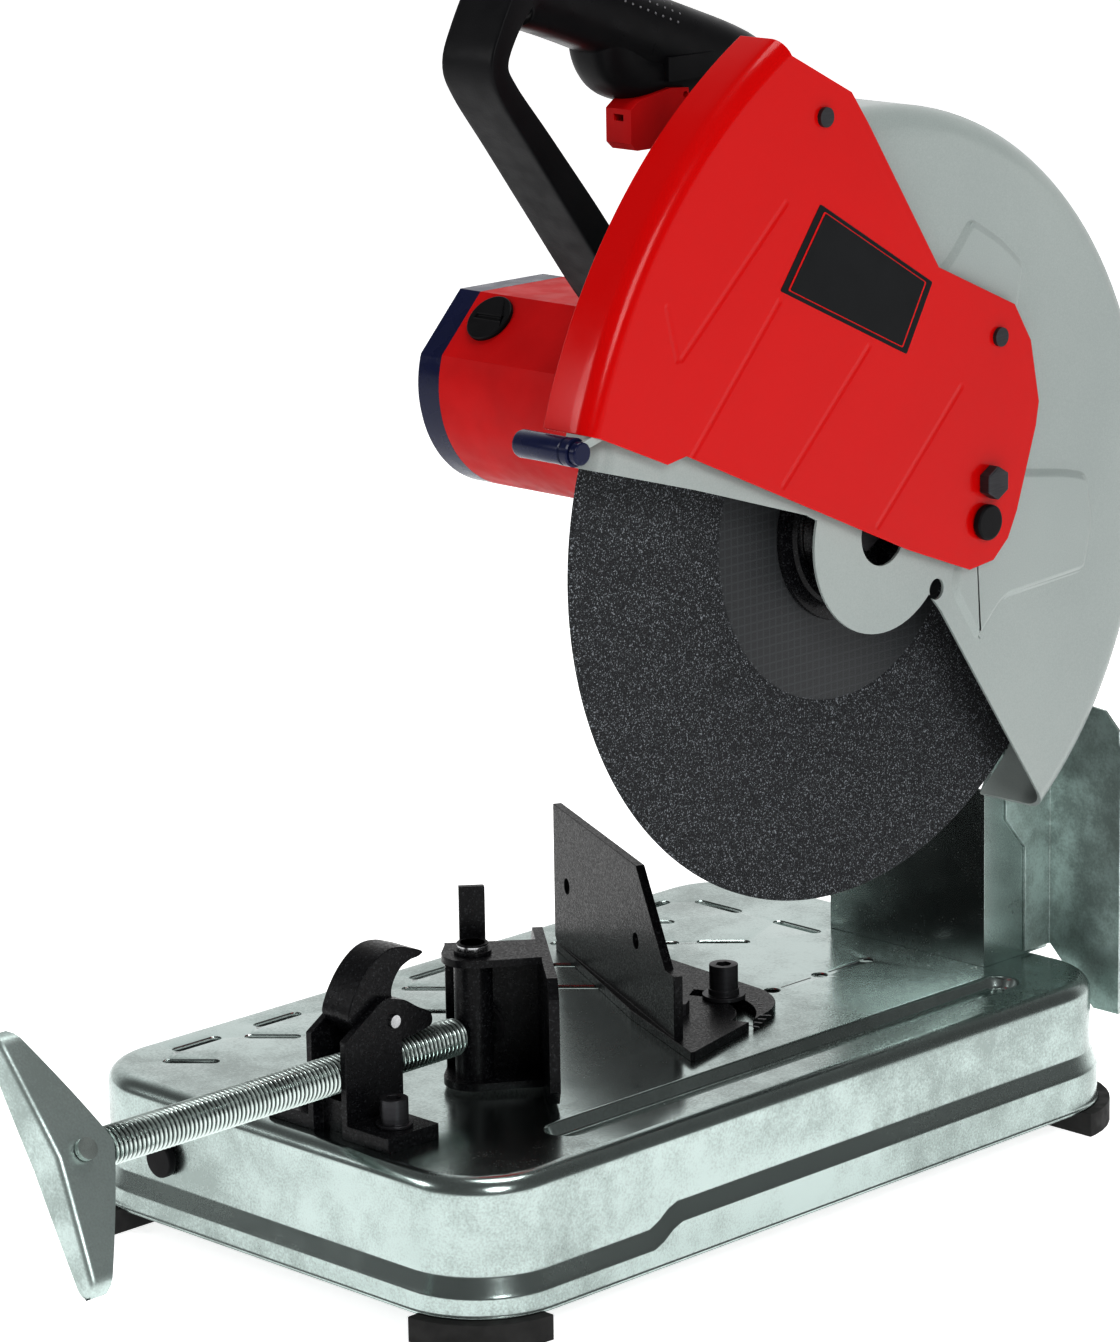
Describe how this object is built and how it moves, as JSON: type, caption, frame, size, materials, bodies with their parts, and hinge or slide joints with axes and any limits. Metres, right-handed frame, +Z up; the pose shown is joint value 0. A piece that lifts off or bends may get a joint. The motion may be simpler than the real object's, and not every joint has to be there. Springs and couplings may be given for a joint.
{
  "type": "abrasive chop saw",
  "caption": "Bench chop saw: pressed base with screw vise and swinging fence, pivoting motor head with a guarded abrasive disc and closed handle.",
  "frame": {"origin": "on the floor plane under the middle of the base, at the centre of the foot bolt pattern", "axes": "+Z up; -Y towards the operator; +X to the operator's right, the side the disc is on; the spindle runs along X"},
  "size_m": [0.2936, 0.6315, 0.597],
  "materials": {
    "galvanised_sheet": "satin",
    "foot_rubber": "matte",
    "black_plastic": "satin",
    "grip_plastic": "dotted",
    "dark_fastener": "black oxide",
    "bright_steel": "satin",
    "spring_steel": "satin",
    "black_casting": "black enamel",
    "plated_screw": "zinc plated",
    "head_casting": "cast",
    "red_plastic": "gloss",
    "navy_plastic": "gloss",
    "carbon": "matte",
    "laminations": "satin",
    "grey_paint": "satin",
    "red_paint": "gloss",
    "black_flange": "gloss",
    "abrasive": "gritty"
  },
  "bodies": {
    "stand": {"base_pan": "galvanised_sheet", "base_feet": "foot_rubber", "base_plug": "black_plastic", "pivot_bracket": "galvanised_sheet", "bracket_screws": "dark_fastener", "spark_guard": "galvanised_sheet", "pivot_shaft": "bright_steel", "pivot_nuts": "bright_steel", "depth_stop": "dark_fastener", "return_spring": "spring_steel", "nut_bracket": "black_casting", "nut_bracket_bolts": "dark_fastener", "lever_pin": "bright_steel", "fence_pivot_bolt": "dark_fastener", "fence_lock_bolt": "dark_fastener"},
    "fence": {"fence_plate": "black_casting"},
    "lever": {"release_lever": "black_casting"},
    "carriage": {"jaw_post": "black_casting"},
    "screw": {"vise_screw": "plated_screw", "screw_handle": "plated_screw", "handle_rivet": "bright_steel", "screw_end_bolt": "dark_fastener"},
    "jaw": {"jaw_yoke": "black_casting", "jaw_plate": "black_casting"},
    "head": {"head_arm": "head_casting", "bearing_cover": "head_casting", "ball_bearings": "bright_steel", "motor_housing": "red_plastic", "motor_end_cap": "navy_plastic", "brush_caps": "navy_plastic", "brushes": "carbon", "stator": "laminations", "housing_screws": "dark_fastener", "handle_left": "grip_plastic", "handle_right": "grip_plastic", "switch_body": "black_plastic", "trigger_spring": "spring_steel", "lock_spring": "spring_steel", "guard_shell": "grey_paint", "guard_back": "grey_paint", "guard_bolts": "dark_fastener", "hood_pivot": "dark_fastener", "cord_gland": "black_plastic"},
    "hood": {"hood": "red_paint", "hood_bolt": "dark_fastener", "hood_screws": "dark_fastener", "label_plate": "black_plastic", "knob_tab": "grey_paint", "lift_knob": "navy_plastic"},
    "spindle": {"spindle": "bright_steel", "spindle_gear": "bright_steel", "inner_flange": "black_flange", "outer_flange": "black_flange", "arbor_bolt": "dark_fastener", "cutting_disc": "abrasive"},
    "armature": {"armature": "laminations", "fan": "black_plastic", "motor_pinion": "bright_steel"},
    "trigger": {"trigger": "red_plastic"},
    "lock_button": {"lock_button": "red_plastic"}
  },
  "joints": [
    {"name": "head_pivot", "type": "hinge", "parent": "stand", "child": "head", "pos_m": [0.03, 0.204, 0.182], "axis": [1, 0, 0], "range_deg": [0, 24], "stiffness_Nm_per_rad": 25, "springref_deg": -68.75},
    {"name": "fence_swing", "type": "hinge", "parent": "stand", "child": "fence", "pos_m": [0.03, 0.0137, 0.078], "axis": [0, 0, 1], "range_deg": [-10, 26]},
    {"name": "release_lever_hinge", "type": "hinge", "parent": "stand", "child": "lever", "pos_m": [0.03, -0.182, 0.1245], "axis": [1, 0, 0], "range_deg": [0, 38]},
    {"name": "vise_slide", "type": "slide", "parent": "stand", "child": "carriage", "axis": [0, 1, 0], "range_m": [-0.02, 0.045]},
    {"name": "screw_spin", "type": "hinge", "parent": "carriage", "child": "screw", "pos_m": [0.03, -0.1195, 0.1025], "axis": [0, 1, 0], "continuous": true},
    {"name": "jaw_swivel", "type": "hinge", "parent": "carriage", "child": "jaw", "pos_m": [0.03, -0.1195, 0.1025], "axis": [0, 0, 1], "range_deg": [0, 55]},
    {"name": "hood_hinge", "type": "hinge", "parent": "head", "child": "hood", "pos_m": [0.132, 0.1173, 0.3189], "axis": [-1, 0, 0], "range_deg": [0, 60]},
    {"name": "spindle_spin", "type": "hinge", "parent": "head", "child": "spindle", "pos_m": [0.1005, 0.054, 0.3225], "axis": [1, 0, 0], "continuous": true},
    {"name": "armature_spin", "type": "hinge", "parent": "head", "child": "armature", "pos_m": [0, 0.03257, 0.37424], "axis": [1, 0, 0], "continuous": true},
    {"name": "trigger_press", "type": "hinge", "parent": "head", "child": "trigger", "pos_m": [0.0355, 0.014, 0.523], "axis": [-1, 0, 0], "range_deg": [0, 14], "stiffness_Nm_per_rad": 0.6, "springref_deg": -8.59, "deforming": ["trigger_spring"]},
    {"name": "lock_press", "type": "slide", "parent": "head", "child": "lock_button", "axis": [1, 0, 0], "range_m": [0, 0.003], "stiffness_N_per_m": 800, "springref_m": -0.003, "deforming": ["lock_spring"]}
  ],
  "couplings": [
    {"joint": "armature_spin", "follows": "spindle_spin", "ratio": -5.4},
    {"joint": "screw_spin", "follows": "vise_slide", "rad_per_m": 2513.3}
  ]
}
